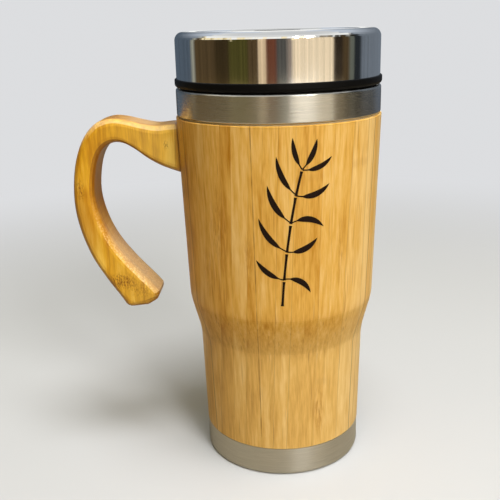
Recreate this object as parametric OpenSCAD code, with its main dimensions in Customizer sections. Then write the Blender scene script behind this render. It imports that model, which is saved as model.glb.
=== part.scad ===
// Travel mug: a turned bamboo sleeve round a steel cup, with a bamboo handle and a press-in lid.
// Units are millimetres. The mug's axis is Z, the table is z = 0 and the handle points along -X.

/* [Sleeve] */
// Outer diameter at the sleeve's top edge
sleeve_top_d = 85.8; // [84:0.2:92]
// Outer diameter where the upper part meets the shoulder
sleeve_shoulder_d = 81; // [78:0.2:84]
// Outer diameter where the shoulder meets the lower part
sleeve_waist_d = 72.6; // [71:0.2:76]
// Outer diameter at the sleeve's lower edge
sleeve_foot_d = 70.2; // [68:0.2:71]
// Height of the lower part
lower_h = 45.3; // [35:0.1:60]
// Height of the shoulder
shoulder_h = 16.3; // [12:0.1:24]
// Height of the upper part
upper_h = 78.5; // [66:0.1:95]
// Thickness of the bamboo wall
sleeve_wall = 4.4; // [3.6:0.1:5.4]
// Radius of the two bends at the shoulder
shoulder_blend_r = 30; // [10:1:36]
// Chamfer on the sleeve's lower edge
sleeve_edge = 0.4; // [0.2:0.1:1]
// Chamfer on the sleeve's upper edge
sleeve_rim_edge = 0.3; // [0.1:0.1:0.6]

/* [Base] */
// How far the base's side lies inside the sleeve's lower edge
base_inset = 0.2; // [0.1:0.05:0.6]
// Height of the steel base that shows
base_h = 12.7; // [10:0.1:18]
// Thickness of the base's sheet
base_t = 0.5; // [0.4:0.1:0.8]
// Radius of the base's lower edge
base_edge_r = 1.6; // [1:0.1:3]
// Width of the ring that the base stands on
stand_ring_w = 6; // [4:0.5:9]
// Depth of the recess in the base's underside
recess_depth = 1.4; // [1:0.1:2]

/* [Cup] */
// Thickness of the steel cup's wall
cup_t = 0.6; // [0.4:0.1:0.8]
// Air gap between the sleeve's bore and the cup
cup_gap = 1; // [0.8:0.1:1.4]
// Height of the cup's floor above the table, on its outside
cup_floor_z = 8; // [6:0.1:10]
// Radius of the cup's bottom corner
cup_corner_r = 6; // [3:0.5:9]
// Height over which the cup widens to its mouth
neck_h = 3; // [2:0.1:4]
// Gap between the mouth's wall and the collar round it
rim_gap = 0.7; // [0.5:0.1:1]

/* [Collar] */
// Height of the brushed collar with the rolled rim on it
collar_h = 11; // [10.4:0.1:16]
// Thickness of the collar's sheet
collar_t = 0.6; // [0.4:0.1:0.8]
// How far the collar lies inside the sleeve's top edge
collar_inset = 0.4; // [0.1:0.1:0.8]
// Thickness of the seal under the collar
seal_t = 0.5; // [0.3:0.1:0.8]

/* [Lid] */
// Height of the polished steel cap
cap_h = 18.4; // [15:0.1:24]
// Thickness of the cap's sheet
cap_t = 0.6; // [0.4:0.1:0.7]
// How far the cap's side lies inside the collar's
cap_inset = 0.5; // [0.3:0.1:0.8]
// Radius of the cap's upper edge
cap_edge_r = 3.4; // [2:0.1:4.5]
// Width of the rim round the cap's dished top
cap_rim_w = 6; // [5:0.1:7]
// Depth of the cap's dished top
dish_depth = 1; // [0.6:0.1:1.3]
// Height of the black flange under the cap
flange_h = 3.5; // [3:0.1:4.6]
// How far the flange stands out past the collar
flange_overhang = 0.3; // [0.1:0.1:0.8]
// Wall thickness of the lid's moulded body
lid_wall = 1.8; // [1.4:0.1:2]
// Gap between the plug's end and the taper below the mouth
plug_end_gap = 0.3; // [0.2:0.1:1]
// Wall thickness of the plug
plug_wall = 2.6; // [2.4:0.1:3.2]
// Gap between the plug and the mouth's wall, which the sealing ring closes
plug_gap = 0.8; // [0.6:0.1:1]
// Thickness of the plate that closes the lid from below
plate_t = 1.6; // [1.2:0.1:2]
// Height of the groove for the sealing ring
groove_h = 4; // [3.6:0.1:4.2]
// Depth of the groove for the sealing ring
groove_depth = 1.2; // [1:0.1:1.4]

/* [Drinking slot] */
// Width of the drinking hole, across the lid's radius
sip_w = 13; // [10:0.5:14]
// Length of the drinking hole, along the lid's radius
sip_l = 7; // [6:0.5:8]
// Bore of the vent hole
vent_d = 1.8; // [1.2:0.1:2.4]
// Width of the sliding gate
gate_w = 26; // [25:0.5:27]
// Length of the sliding gate
gate_l = 31; // [30:0.5:32]
// Thickness of the sliding gate
gate_t = 1.8; // [1.4:0.1:2.2]
// Width of the thumb pad on the gate
thumb_w = 20; // [18:0.5:21]
// Length of the thumb pad
thumb_l = 26; // [24:0.5:27]
// Travel of the gate from shut to open
gate_travel = 16; // [15:0.5:17]

/* [Handle] */
// Reach of the handle from the sleeve to its outermost point
handle_reach = 45.6; // [40:0.1:55]
// Height of the handle from its highest to its lowest point
handle_drop = 83.9; // [75:0.1:90]
// Width of the handle, across its plane
handle_w = 18; // [16:0.5:22]
// Radius of the handle's long edges
handle_edge_r = 3.2; // [1:0.1:3.6]
// Radius round the handle's free end
handle_end_r = 3; // [1:0.1:3.4]
// Bulge of the handle's free end
handle_end_bulge = 1.8; // [0.5:0.1:3]
// Distance from the sleeve's top edge down to the handle's highest point
handle_top_gap = 0.1; // [0:0.1:6]
// Outer diameter of the handle's screws
screw_d = 3.9; // [3:0.1:4.2]
// Length of the handle's screws
screw_l = 20; // [16:0.5:21]
// Distance between the two screws
screw_pitch = 9; // [8.4:0.1:9.6]

/* [Hidden] */
$fn = 96;

// Clearances and small sizes that several pieces share
glue_gap = 0.05;
fit_gap = 0.1;
run_gap = 0.15;
seat_gap = 0.3;
overrun = 2;
arc_steps = 8;

// Steel cup and its seat
foot_pad_gap = 0.6;
liner_pad_inset = 2.3;
liner_inset = sleeve_wall + cup_gap;

// Heights from the table up
z_sleeve = base_h;
z_waist = z_sleeve + lower_h;
z_shoulder = z_waist + shoulder_h;
z_sleeve_top = z_shoulder + upper_h;
z_collar = z_sleeve_top + seal_t;
z_rim = z_collar + collar_h;
z_flange = z_rim + seat_gap;
z_cap = z_flange + flange_h;
z_top = z_cap + cap_h;
z_dish = z_top - dish_depth;
z_neck = z_collar + collar_t;
z_mouth = z_neck + neck_h;
z_plug = z_mouth + plug_end_gap;
plug_l = z_flange - z_plug;

// Radii
sleeve_top_r = sleeve_top_d / 2;
sleeve_shoulder_r = sleeve_shoulder_d / 2;
sleeve_waist_r = sleeve_waist_d / 2;
sleeve_foot_r = sleeve_foot_d / 2;
base_r = sleeve_foot_r - base_inset;
collar_r = sleeve_top_r - collar_inset;
mouth_outer_r = collar_r - collar_t - rim_gap;
mouth_r = mouth_outer_r - cup_t;
cap_r = collar_r - cap_inset;
flange_r = collar_r + flange_overhang;
plug_r = mouth_r - plug_gap;
plug_inner_r = plug_r - plug_wall;
dish_r = cap_r - cap_rim_w;

// Collar's bend and flange
collar_bend_r = 0.8;
neck_clear = 0.2;
lip_r = (collar_r - mouth_r) / 2;
z_lip = z_rim - lip_r;

// Base's recess
stand_inner_r = base_r - base_edge_r - stand_ring_w;
recess_slope = 1;
recess_r = stand_inner_r - recess_slope;
spigot_r = base_r - base_t - glue_gap;
z_spigot = base_t + glue_gap;

// Lid's flange and plug
flange_edge_r = 0.5;
flange_under_r = 1.6;
plug_tip_r = 0.6;
z_groove = z_plug + (plug_l - groove_h) / 2;

// Cap's dish
dish_slope = 1.2;
dish_bend_r = 0.7;

// Sliding gate and the tray that it runs in, shut
track_margin = 2.4;
track_outer_y = dish_r - track_margin;
gate_outer_y = track_outer_y - seat_gap;
gate_inner_y = gate_outer_y - gate_l;
track_inner_y = gate_inner_y - gate_travel - seat_gap;
track_w = gate_w + 2 * seat_gap;
thumb_margin = 2.6;
thumb_outer_y = gate_outer_y - thumb_margin;
thumb_inner_y = thumb_outer_y - thumb_l;
cutout_w = thumb_w + 2 * seat_gap;
cutout_outer_y = thumb_outer_y + seat_gap;
cutout_inner_y = thumb_inner_y - gate_travel - seat_gap;
tray_wall = 1.5;
tray_w = track_w + 2 * tray_wall;
tray_outer_y = track_outer_y + tray_wall;
tray_inner_y = track_inner_y - tray_wall;
z_tray_top = z_dish - cap_t - fit_gap;
z_track = z_tray_top - gate_t - 2 * run_gap;
tray_floor_t = 1.6;
sip_margin = 3.8;
sip_y = gate_outer_y - sip_margin - sip_l / 2;
sip_wall = 1.6;
vent_wall = 1.1;
vent_web = 1.3;
vent_y = sip_y - sip_l / 2 - vent_web - vent_d / 2;
thumb_drop = 0.6;
z_thumb = z_top - thumb_drop;
rib_count = 5;
rib_w = 1.1;
rib_pitch = 3;
thumb_dip = 0.7;
pad_t = 1.2;
pad_rim = 1.6;
pad_proud = 0.1;
fin_count = 2;
fin_t = 0.9;

// Handle outline, as shares of its reach outwards and of its drop downwards
z_handle_top = z_sleeve_top - handle_top_gap;
handle_root_r = sleeve_top_r;
handle_outer_shares = [
    [-0.100, 0.032], [0.045, 0.035], [0.186, 0.040], [0.333, 0.026], [0.486, 0.006],
    [0.620, 0.002], [0.760, 0.033], [0.882, 0.115], [0.968, 0.247], [1.000, 0.420],
    [0.965, 0.569], [0.875, 0.718], [0.747, 0.843], [0.640, 0.930], [0.595, 0.968]];
handle_inner_shares = [
    [-0.100, 0.292], [0.045, 0.265], [0.157, 0.240], [0.270, 0.204], [0.390, 0.155],
    [0.498, 0.124], [0.606, 0.125], [0.704, 0.168], [0.768, 0.259], [0.795, 0.396],
    [0.747, 0.527], [0.650, 0.644], [0.500, 0.756], [0.314, 0.869], [0.244, 0.914]];
handle_end_shares = [0.25, -1];
handle_crease_share = -0.2;
ring_steps = 4;
end_steps = 4;
corner_steps = 4;

// Handle's screws
screw_head_d = 7.4;
screw_head_h = 2;
screw_sink = 0.5;
screw_core_share = 0.74;
screw_thread_pitch = 1.6;
screw_tip_l = 2;
cross_w = 0.9;
cross_l = 4;
cross_depth = 1.2;
handle_root_h = handle_drop * (handle_inner_shares[1][1] - handle_outer_shares[1][1]);
screw_height_share = 0.36;
z_screw = z_handle_top - handle_drop * handle_outer_shares[1][1] - handle_root_h * screw_height_share;

sleeve_table = [[z_sleeve, sleeve_foot_r], [z_waist, sleeve_waist_r],
                [z_shoulder, sleeve_shoulder_r], [z_sleeve_top, sleeve_top_r]];

// Outer radius of the sleeve at a height, without its blended bends
function sleeve_r(z) = lookup(z, sleeve_table);

// Distance from the mug's axis to the face of a screw's head, sunk in the sleeve's bore
screw_face = sleeve_r(z_screw) - sleeve_wall + screw_sink - pow(screw_pitch / 2, 2) / sleeve_top_d;

function unit(v) = v / norm(v);
function left_of(v) = [-v[1], v[0]];
function flat(p) = [p[0], p[1]];
function reversed(p) = [for (i = [len(p) - 1:-1:0]) p[i]];

// Points of an arc of radius r that rounds the corner b between a and c
function corner_arc(a, b, c, r) =
    let(u = unit(a - b), v = unit(c - b), half = acos(u * v) / 2,
        centre = b + unit(u + v) * r / sin(half),
        first = b + u * r / tan(half), last = b + v * r / tan(half),
        start = atan2(first[1] - centre[1], first[0] - centre[0]),
        sweep = atan2(last[1] - centre[1], last[0] - centre[0]) - start,
        turn = sweep > 180 ? sweep - 360 : sweep < -180 ? sweep + 360 : sweep)
    [for (i = [0:arc_steps]) let(t = start + turn * i / arc_steps) centre + r * [cos(t), sin(t)]];

// A path of [x, y, radius] corners, with each corner rounded by its radius
function rounded(p) = [for (i = [0:len(p) - 1])
    each (i == 0 || i == len(p) - 1 || p[i][2] == 0)
        ? [flat(p[i])]
        : corner_arc(flat(p[i - 1]), flat(p[i]), flat(p[i + 1]), p[i][2])];

// A path moved by t to the left of its direction
function beside(p, t) = [for (i = [0:len(p) - 1])
    let(before = left_of(unit(p[max(i, 1)] - p[max(i, 1) - 1])),
        after = left_of(unit(p[min(i, len(p) - 2) + 1] - p[min(i, len(p) - 2)])),
        middle = unit(before + after))
    p[i] + middle * t / (middle * before)];

// A solid turned about the mug's axis from a closed outline
module turned(outline) {
    rotate_extrude() polygon(outline);
}

// A slot with round ends, from y0 to y1 along the lid's radius
module slot(y0, y1, w, z0, z1) {
    r = w / 2;
    translate([0, 0, z0]) linear_extrude(z1 - z0) {
        translate([-r, y0 + r]) square([w, y1 - y0 - w]);
        translate([0, y0 + r]) circle(r);
        translate([0, y1 - r]) circle(r);
    }
}

// A slot with round ends that lies across the lid's radius
module cross_slot(y, w, l, z0, z1) {
    r = l / 2;
    translate([0, y, z0]) linear_extrude(z1 - z0) {
        translate([-w / 2 + r, -r]) square([w - l, l]);
        for (side = [-1, 1]) translate([side * (w / 2 - r), 0]) circle(r);
    }
}

// Outer side of the steel cup, from its floor's centre to the rolled rim
function cup_path() = rounded([
    [0, cup_floor_z, 0],
    [sleeve_foot_r - liner_inset, cup_floor_z, cup_corner_r],
    [sleeve_waist_r - liner_inset, z_waist, shoulder_blend_r],
    [sleeve_shoulder_r - liner_inset, z_shoulder, shoulder_blend_r],
    [sleeve_top_r - liner_inset, z_neck, 0],
    [mouth_outer_r, z_mouth, 0],
    [mouth_outer_r, z_lip, 0]]);

function lip_arc() = [for (i = [0:2 * arc_steps]) let(t = 180 * i / (2 * arc_steps))
    [mouth_r + lip_r, z_lip] + lip_r * [cos(t), sin(t)]];

module cup_liner() {
    color("silver") turned(concat(cup_path(), lip_arc(), reversed(beside(cup_path(), cup_t))));
}

module collar_band() {
    path = rounded([
        [sleeve_top_r - liner_inset + neck_clear, z_collar, 0],
        [collar_r, z_collar, collar_bend_r],
        [collar_r, z_lip, 0]]);
    color("lightgray") turned(concat(path, reversed(beside(path, collar_t))));
}

module collar_seal() {
    color("dimgray") turned([
        [sleeve_top_r - sleeve_wall, z_sleeve_top],
        [collar_r - collar_bend_r, z_sleeve_top],
        [collar_r - collar_bend_r, z_collar],
        [sleeve_top_r - sleeve_wall, z_collar]]);
}

module sleeve_blank() {
    bends = rounded([
        [sleeve_foot_r, z_sleeve + sleeve_edge, 0],
        [sleeve_waist_r, z_waist, shoulder_blend_r],
        [sleeve_shoulder_r, z_shoulder, shoulder_blend_r],
        [sleeve_top_r, z_sleeve_top, 0]]);
    bore = [for (p = bends) [p[0] - sleeve_wall, p[1]]];
    outside = [for (i = [0:len(bends) - 2]) bends[i]];
    turned(concat(
        [[sleeve_foot_r - sleeve_wall, z_spigot], [spigot_r - base_edge_r, z_spigot],
         [spigot_r, z_spigot + base_edge_r], [spigot_r, z_sleeve],
         [sleeve_foot_r - sleeve_edge, z_sleeve]],
        outside,
        [[sleeve_r(z_sleeve_top - sleeve_rim_edge), z_sleeve_top - sleeve_rim_edge],
         [sleeve_top_r - sleeve_rim_edge, z_sleeve_top]],
        reversed(bore)));
}

// Places its children on each of the handle's two screw axes, with +Z outwards from the cup
module at_screws() {
    for (side = [-1, 1])
        translate([0, side * screw_pitch / 2, z_screw]) rotate([0, -90, 0]) children();
}

module bamboo_sleeve() {
    color("burlywood") difference() {
        sleeve_blank();
        at_screws() {
            translate([0, 0, screw_face]) cylinder(h = sleeve_wall + overrun, d = screw_d + 2 * fit_gap);
            translate([0, 0, screw_face])
                cylinder(h = screw_head_h, d1 = screw_head_d + 2 * fit_gap, d2 = screw_d + 2 * fit_gap);
            translate([0, 0, screw_face - overrun])
                cylinder(h = overrun, d = screw_head_d + 2 * fit_gap);
        }
    }
}

module base_cup() {
    path = rounded([
        [0, recess_depth, 0],
        [recess_r, recess_depth, base_t],
        [stand_inner_r, 0, base_t],
        [base_r, 0, base_edge_r],
        [base_r, base_h, 0]]);
    color("lightgray") turned(concat(path, reversed(beside(path, base_t))));
}

module liner_pad() {
    z_under = recess_depth + base_t;
    color("gray") translate([0, 0, z_under])
        cylinder(h = cup_floor_z - z_under, r = recess_r - liner_pad_inset);
}

module foot_pad() {
    color("black") cylinder(h = recess_depth, r = recess_r - foot_pad_gap);
}

function handle_point(share) = [-handle_root_r - handle_reach * share[0],
                                z_handle_top - handle_drop * share[1]];

// Point at t, from 0 to 1, between the second and third of four points on a smooth curve
function between(a, b, c, d, t) =
    0.5 * (2 * b + (c - a) * t + (2 * a - 5 * b + 4 * c - d) * t * t
           + (3 * b - a - 3 * c + d) * t * t * t);

function smooth(p) = let(last = len(p) - 1) concat(
    [for (i = [0:last - 1], k = [0:ring_steps - 1])
        between(p[max(i - 1, 0)], p[i], p[i + 1], p[min(i + 2, last)], k / ring_steps)],
    [p[last]]);

// How far a place u lies up a roof from -1 to 1 that has its ridge at crease and is 1 high there
function roof(u, crease) = u > crease ? (1 - u) / (1 - crease) : (1 + u) / (1 + crease);

// One ring of the handle: a rounded rectangle between an outer and an inner point. It is drawn in
// by inset, moved by shift, and stands out by bulge at its crease in the direction way.
function handle_ring(outer, inner, shift = [0, 0], inset = 0, bulge = 0, way = [0, 0]) =
    let(middle = (outer + inner) / 2 + shift, whole = norm(outer - inner) / 2, half = whole - inset,
        side = handle_w / 2 - inset, along = unit(outer - inner),
        r = max(min(handle_edge_r, whole) - inset, handle_edge_r / ring_steps))
    [for (q = [0:3], k = [0:corner_steps + 1 - q % 2])
        let(t = 90 * (q + k / corner_steps), at_crease = k > corner_steps,
            u = at_crease ? whole * handle_crease_share
                : (half - r) * (q == 0 || q == 3 ? 1 : -1) + r * cos(t),
            v = at_crease ? side * (q < 2 ? 1 : -1)
                : (side - r) * (q < 2 ? 1 : -1) + r * sin(t),
            p = middle + along * u + way * bulge * roof(u / whole, handle_crease_share))
        [p[0], v, p[1]]];

module handle_sweep() {
    outer = smooth([for (s = handle_outer_shares) handle_point(s)]);
    inner = smooth([for (s = handle_inner_shares) handle_point(s)]);
    last = len(outer) - 1;
    way = unit(handle_end_shares);
    rings = concat(
        [for (i = [0:last]) handle_ring(outer[i], inner[i])],
        [for (k = [1:end_steps]) let(t = 90 * k / end_steps)
            handle_ring(outer[last], inner[last], handle_end_r * sin(t) * way,
                        handle_end_r * (1 - cos(t)), handle_end_bulge * sin(t), way)]);
    size = len(rings[0]);
    count = len(rings);
    end = (count - 1) * size;
    sides = [for (i = [0:count - 2], j = [0:size - 1])
        let(a = i * size + j, b = i * size + (j + 1) % size)
        each [[a, a + size, b], [b, a + size, b + size]]];
    strips = [for (j = [0:size / 2 - 2])
        let(a = j, b = j + 1, c = size - 2 - j, d = size - 1 - j)
        each [[a, b, c], [a, c, d], [end + b, end + a, end + d], [end + b, end + d, end + c]]];
    polyhedron([for (r = rings) each r], concat(sides, strips));
}

module bamboo_handle() {
    color("goldenrod") difference() {
        handle_sweep();
        translate([0, 0, z_shoulder])
            cylinder(h = upper_h + overrun, r1 = sleeve_shoulder_r + glue_gap,
                     r2 = sleeve_r(z_sleeve_top) + glue_gap
                          + overrun * (sleeve_top_r - sleeve_shoulder_r) / upper_h);
        at_screws() cylinder(h = screw_face + screw_l + seat_gap, d = screw_d + 2 * run_gap);
    }
}

// One countersunk screw, with its head's face at z = 0 and its point up
module screw() {
    core_r = screw_d * screw_core_share / 2;
    crest_r = screw_d / 2;
    turns = floor((screw_l - screw_tip_l - sleeve_wall) / screw_thread_pitch);
    thread_l = turns * screw_thread_pitch;
    thread_z = screw_l - screw_tip_l - thread_l;
    thread = [for (i = [0:turns - 1]) let(z = thread_z + i * screw_thread_pitch)
        each [[core_r, z], [crest_r, z + screw_thread_pitch / 2]]];
    difference() {
        rotate_extrude() polygon(concat(
            [[0, 0], [screw_head_d / 2, 0], [crest_r, screw_head_h], [crest_r, sleeve_wall]],
            thread, [[core_r, screw_l - screw_tip_l], [0, screw_l]]));
        for (turn = [0, 90]) rotate([0, 0, turn]) translate([-cross_l / 2, -cross_w / 2, -cross_depth])
            cube([cross_l, cross_w, 2 * cross_depth]);
    }
}

module handle_screws() {
    color("silver") at_screws() translate([0, 0, screw_face]) screw();
}

// Side of the lid's shells that lies inset below the cap's outside, from the centre to the lower edge
function cap_line(inset) =
    let(shift = inset * tan(atan2(dish_depth, dish_slope) / 2))
    rounded([
        [0, z_dish - inset, 0],
        [dish_r - dish_slope + shift, z_dish - inset, dish_bend_r],
        [dish_r + shift, z_top - inset, dish_bend_r],
        [cap_r - inset, z_top - inset, max(cap_edge_r - inset, 0)],
        [cap_r - inset, z_cap, 0]]);

module lid_cap() {
    color("gainsboro") difference() {
        turned(concat(cap_line(0), reversed(cap_line(cap_t))));
        slot(cutout_inner_y, cutout_outer_y, cutout_w, z_dish - cap_t - overrun, z_top);
    }
}

module lid_body() {
    outside = cap_line(cap_t + fit_gap);
    inside = cap_line(cap_t + fit_gap + lid_wall);
    flange = rounded([
        [cap_r - cap_t - fit_gap, z_cap, 0],
        [flange_r, z_cap, flange_edge_r],
        [flange_r, z_flange, flange_under_r],
        [plug_r, z_flange, 0],
        [plug_r, z_groove + groove_h, 0],
        [plug_r - groove_depth, z_groove + groove_h, 0],
        [plug_r - groove_depth, z_groove, 0],
        [plug_r, z_groove, 0],
        [plug_r, z_plug, plug_tip_r],
        [plug_inner_r, z_plug, 0],
        [plug_inner_r, z_cap - lid_wall, 0]]);
    color("dimgray") difference() {
        turned(concat(outside, flange, reversed(inside)));
        slot(tray_inner_y - fit_gap, tray_outer_y + fit_gap, tray_w + 2 * fit_gap,
             z_track - overrun, z_top);
    }
}

module lid_tray() {
    z_low = z_track - tray_floor_t;
    vent_r = vent_d / 2;
    color("dimgray") difference() {
        union() {
            slot(tray_inner_y, tray_outer_y, tray_w, z_low, z_tray_top);
            cross_slot(sip_y, sip_w + 2 * sip_wall, sip_l + 2 * sip_wall, z_plug, z_track);
            translate([0, vent_y, z_plug]) cylinder(h = z_track - z_plug, r = vent_r + vent_wall);
        }
        slot(track_inner_y, track_outer_y, track_w, z_track, z_top);
        cross_slot(sip_y, sip_w, sip_l, z_plug - overrun, z_top);
        translate([0, vent_y, z_plug - overrun]) cylinder(h = z_top - z_plug, r = vent_r);
    }
}

module lid_plate() {
    color("dimgray") difference() {
        translate([0, 0, z_plug]) cylinder(h = plate_t, r = plug_inner_r - fit_gap);
        cross_slot(sip_y, sip_w + 2 * sip_wall + 2 * fit_gap, sip_l + 2 * sip_wall + 2 * fit_gap,
                   z_plug - overrun, z_plug + plate_t + overrun);
        translate([0, vent_y, z_plug - overrun])
            cylinder(h = plate_t + 2 * overrun, r = vent_d / 2 + vent_wall + fit_gap);
    }
}

module lid_gasket() {
    inner_r = plug_r - groove_depth + glue_gap;
    fin_r = mouth_r - run_gap;
    z_low = z_groove + fit_gap;
    height = groove_h - 2 * fit_gap;
    step = height / fin_count;
    fins = [for (i = [0:fin_count - 1]) let(z = z_low + i * step)
        each [[plug_r, z], [fin_r, z + step / 2 - fin_t / 4], [fin_r, z + step / 2 + fin_t / 4],
              [plug_r, z + step]]];
    color("whitesmoke") turned(concat([[inner_r, z_low]], fins, [[inner_r, z_low + height]]));
}

module slider_gate() {
    z_gate = z_track + run_gap;
    thumb_mid_y = (thumb_inner_y + thumb_outer_y) / 2;
    dip_w = rib_count * rib_pitch;
    color("black") difference() {
        union() {
            slot(gate_inner_y, gate_outer_y, gate_w, z_gate, z_gate + gate_t);
            slot(thumb_inner_y, thumb_outer_y, thumb_w, z_gate, z_thumb);
        }
        for (i = [0:rib_count])
            translate([-dip_w / 2, thumb_mid_y + (i - rib_count / 2) * rib_pitch - (rib_pitch - rib_w) / 2,
                       z_thumb - thumb_dip])
                cube([dip_w, rib_pitch - rib_w, 2 * thumb_dip]);
        cross_slot(sip_y, sip_w + 2 * pad_rim + 2 * fit_gap, sip_l + 2 * pad_rim + 2 * fit_gap,
                   z_gate - overrun, z_gate + pad_t - pad_proud);
    }
}

module slider_seal() {
    z_gate = z_track + run_gap;
    color("whitesmoke")
        cross_slot(sip_y, sip_w + 2 * pad_rim, sip_l + 2 * pad_rim, z_gate - pad_proud,
                   z_gate + pad_t - pad_proud);
}

cup_liner();
collar_band();
collar_seal();
bamboo_sleeve();
base_cup();
liner_pad();
foot_pad();
bamboo_handle();
handle_screws();
lid_cap();
lid_body();
lid_tray();
lid_plate();
lid_gasket();
slider_gate();
slider_seal();
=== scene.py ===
"""Looks of a bamboo travel mug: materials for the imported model, an engraved sprig, floor, light, camera."""

import math

import bmesh
import bpy
from mathutils import Matrix, Vector


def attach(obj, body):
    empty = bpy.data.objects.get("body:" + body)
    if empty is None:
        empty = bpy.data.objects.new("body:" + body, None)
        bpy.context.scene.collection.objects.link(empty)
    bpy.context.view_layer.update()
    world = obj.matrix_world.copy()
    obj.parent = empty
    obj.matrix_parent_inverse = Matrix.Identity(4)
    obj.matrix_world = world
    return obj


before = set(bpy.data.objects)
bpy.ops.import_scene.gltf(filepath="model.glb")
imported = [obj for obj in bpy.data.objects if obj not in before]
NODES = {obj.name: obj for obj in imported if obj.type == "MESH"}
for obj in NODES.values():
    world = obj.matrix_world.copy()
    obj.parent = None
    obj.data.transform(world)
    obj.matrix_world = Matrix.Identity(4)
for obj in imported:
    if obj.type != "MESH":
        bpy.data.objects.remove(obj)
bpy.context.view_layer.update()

MM = 0.001

# Camera, in the mug's frame: its place and its three directions, worked out from the photo's ellipses
CAMERA_PLACE = Vector((0.0, -0.3170, 0.1902))
CAMERA_RIGHT = Vector((0.99908873, 0.03458689, -0.02500924))
CAMERA_UP = Vector((0.01368474, 0.29543499, 0.95526483))
CAMERA_AHEAD = Vector((-0.04042824, 0.95473657, -0.29469245))
CAMERA_LENS_MM = 53.58
CAMERA_SENSOR_MM = 36.0
CAMERA_CLIP = 0.01


def srgb(red, green, blue):
    """A colour given as it shows on a screen, from 0 to 255, as the linear colour that shaders take."""
    def linear(value):
        value /= 255.0
        return value / 12.92 if value <= 0.04045 else ((value + 0.055) / 1.055) ** 2.4
    return (linear(red), linear(green), linear(blue), 1.0)


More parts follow.
